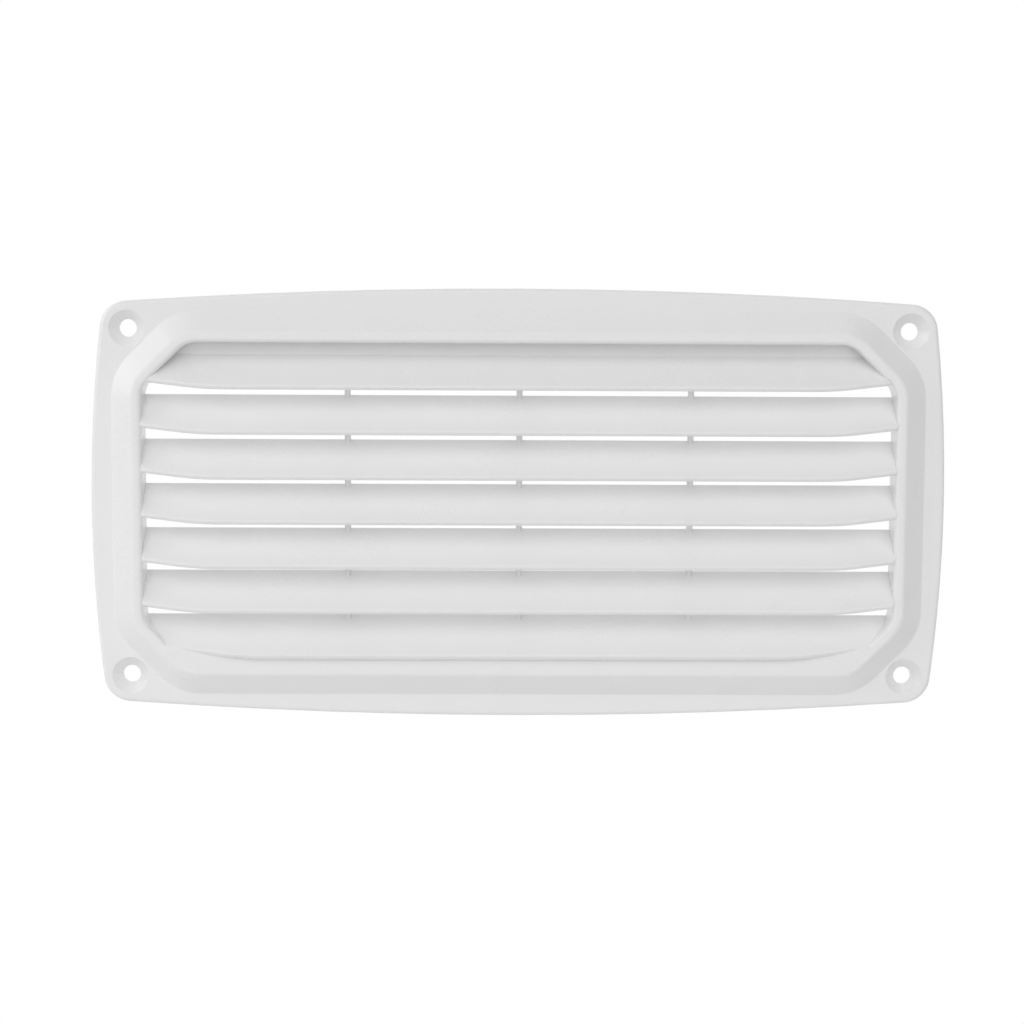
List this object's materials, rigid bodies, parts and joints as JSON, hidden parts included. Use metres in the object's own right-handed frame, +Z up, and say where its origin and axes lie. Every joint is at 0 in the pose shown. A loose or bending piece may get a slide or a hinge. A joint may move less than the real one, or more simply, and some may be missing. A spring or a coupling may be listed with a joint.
{
  "type": "louvred vent grille",
  "caption": "Moulded rectangular vent grille with bowed edges, a raised cut-corner bezel and sloping louvres, screwed over an opening in a wall to let air through.",
  "frame": {"origin": "centre of the screw pattern, on the mounting plane at the back of the flange", "axes": "+X along the louvres to the right seen from the front, +Y into the wall, +Z up, so the front faces -Y"},
  "size_m": [0.201, 0.0091, 0.101],
  "materials": {
    "white_plastic": "satin, as moulded"
  },
  "bodies": {
    "root": {"vent_grille": "white_plastic"}
  },
  "joints": []
}
